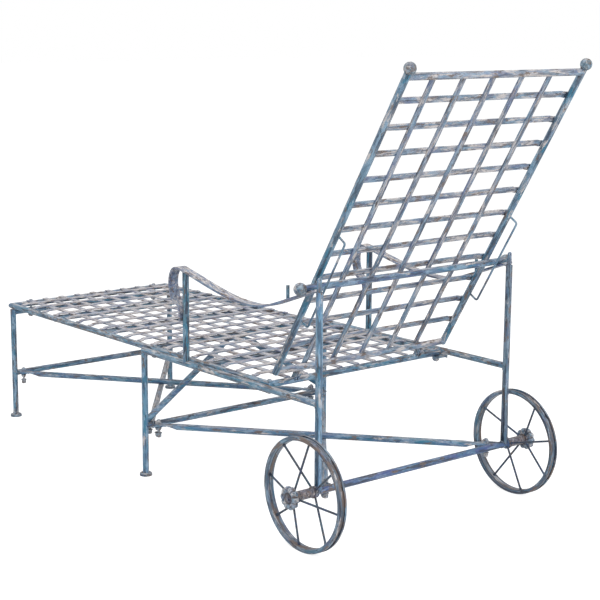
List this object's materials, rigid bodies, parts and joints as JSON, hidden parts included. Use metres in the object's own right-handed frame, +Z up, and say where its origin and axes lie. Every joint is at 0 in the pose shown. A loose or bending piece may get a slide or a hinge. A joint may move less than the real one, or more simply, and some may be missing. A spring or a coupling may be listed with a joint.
{
  "type": "reclining sun lounger",
  "caption": "Reclining metal sun lounger with a strap lattice seat and hinged back, curled strap arms, a sliding prop bar and two spoked wheels.",
  "frame": {"origin": "on the floor, under the middle of the overall length and width", "axes": "+X towards the head and wheels, +Y towards the right of a person lying on it, +Z up"},
  "size_m": [1.6646, 0.7712, 1.0678],
  "materials": {
    "blue_paint": "distressed matte",
    "dark_steel": "worn matte"
  },
  "bodies": {
    "frame": {"foot_leg_left": "blue_paint", "foot_leg_right": "blue_paint", "foot_top_bar": "blue_paint", "foot_low_bar": "blue_paint", "foot_glide_left": "blue_paint", "foot_glide_right": "blue_paint", "mid_leg_left": "blue_paint", "mid_leg_right": "blue_paint", "mid_low_bar": "blue_paint", "mid_glide_left": "blue_paint", "mid_glide_right": "blue_paint", "vee_brace": "blue_paint", "side_rail_left": "blue_paint", "side_rail_right": "blue_paint", "rear_post_left": "blue_paint", "rear_post_right": "blue_paint", "axle_bar": "blue_paint", "armrest_left": "blue_paint", "armrest_right": "blue_paint", "stop_pegs": "blue_paint", "arm_post_left": "blue_paint", "arm_post_right": "blue_paint", "foot_brace_upper": "blue_paint", "foot_brace_lower": "blue_paint", "rear_brace_upper": "blue_paint", "rear_brace_lower": "blue_paint", "brace_bolts": "dark_steel", "seat_rail_left": "blue_paint", "seat_rail_right": "blue_paint", "seat_foot_tube": "blue_paint", "seat_rear_tube": "blue_paint", "seat_cross_tubes": "blue_paint", "seat_long_straps": "blue_paint", "seat_cross_straps": "blue_paint", "seat_bolts": "dark_steel", "hinge_pins": "dark_steel", "stub_axle_left": "blue_paint", "stub_axle_right": "blue_paint"},
    "backrest": {"back_rail_left": "blue_paint", "back_rail_right": "blue_paint", "back_bottom_tube": "blue_paint", "back_top_tube": "blue_paint", "back_long_straps": "blue_paint", "back_cross_straps": "blue_paint", "finial_left": "blue_paint", "finial_right": "blue_paint", "slide_loop_left": "blue_paint", "slide_loop_right": "blue_paint"},
    "prop_bar": {"prop_bar": "blue_paint", "bar_ball_left": "blue_paint", "bar_ball_right": "blue_paint"},
    "wheel_left": {"wheel_rim_left": "blue_paint", "wheel_spokes_left": "dark_steel", "wheel_hub_left": "blue_paint", "wheel_rosette_left": "blue_paint"},
    "wheel_right": {"wheel_rim_right": "blue_paint", "wheel_spokes_right": "dark_steel", "wheel_hub_right": "blue_paint", "wheel_rosette_right": "blue_paint"}
  },
  "joints": [
    {"name": "recline", "type": "hinge", "parent": "frame", "child": "backrest", "pos_m": [0.38706, 0, 0.34309], "axis": [0, -1, 0], "range_deg": [0, 30]},
    {"name": "bar_slide", "type": "slide", "parent": "backrest", "child": "prop_bar", "axis": [0.518, 0, 0.8554], "range_m": [0, 0.03]},
    {"name": "wheel_left_spin", "type": "hinge", "parent": "frame", "child": "wheel_left", "pos_m": [0.58434, -0.3355, 0.13], "axis": [0, 1, 0], "continuous": true},
    {"name": "wheel_right_spin", "type": "hinge", "parent": "frame", "child": "wheel_right", "pos_m": [0.58434, 0.3355, 0.13], "axis": [0, 1, 0], "continuous": true}
  ]
}
